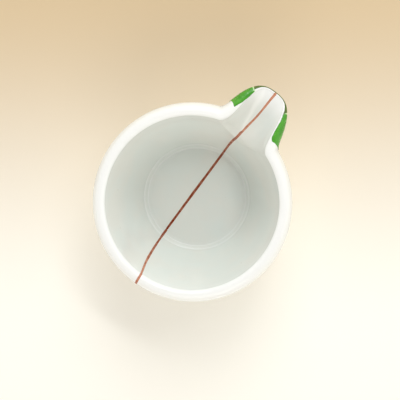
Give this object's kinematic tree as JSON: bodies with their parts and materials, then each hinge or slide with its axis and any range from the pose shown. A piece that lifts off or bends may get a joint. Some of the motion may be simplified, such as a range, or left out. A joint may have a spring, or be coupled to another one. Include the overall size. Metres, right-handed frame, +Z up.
{
  "type": "spouted porcelain bowl",
  "caption": "Small round porcelain pouring bowl with a thick rounded lip, an open U-shaped spout and a foot ring, painted with red and green overglaze enamel.",
  "frame": {"origin": "on the surface the bowl stands on, under the middle of its whole length, halfway between the back of the bowl and the tip of the spout", "axes": "+X along the spout towards its tip, +Z up out of the bowl's open mouth, +Y to the left of the spout as seen from inside the bowl"},
  "size_m": [0.0965, 0.0804, 0.0446],
  "materials": {
    "porcelain_glaze": "clear glossy glaze on white porcelain",
    "foot_clay": "white porcelain, glazed on its sides and bare on the tread",
    "joint_slip": "joining slip of the same clay, under the glaze",
    "red_enamel": "thin brown-red overglaze enamel, brushed, semi-gloss",
    "green_enamel": "thick glossy translucent green overglaze enamel"
  },
  "bodies": {
    "root": {"bowl_body": "porcelain_glaze", "foot_ring": "foot_clay", "pouring_spout": "porcelain_glaze", "spout_joint_slip": "joint_slip", "red_line_spout": "red_enamel", "red_line_floor": "red_enamel", "red_line_far_wall": "red_enamel", "red_line_outside": "red_enamel", "green_patch_left": "green_enamel", "green_patch_right": "green_enamel", "green_tip_band": "green_enamel"}
  },
  "joints": []
}
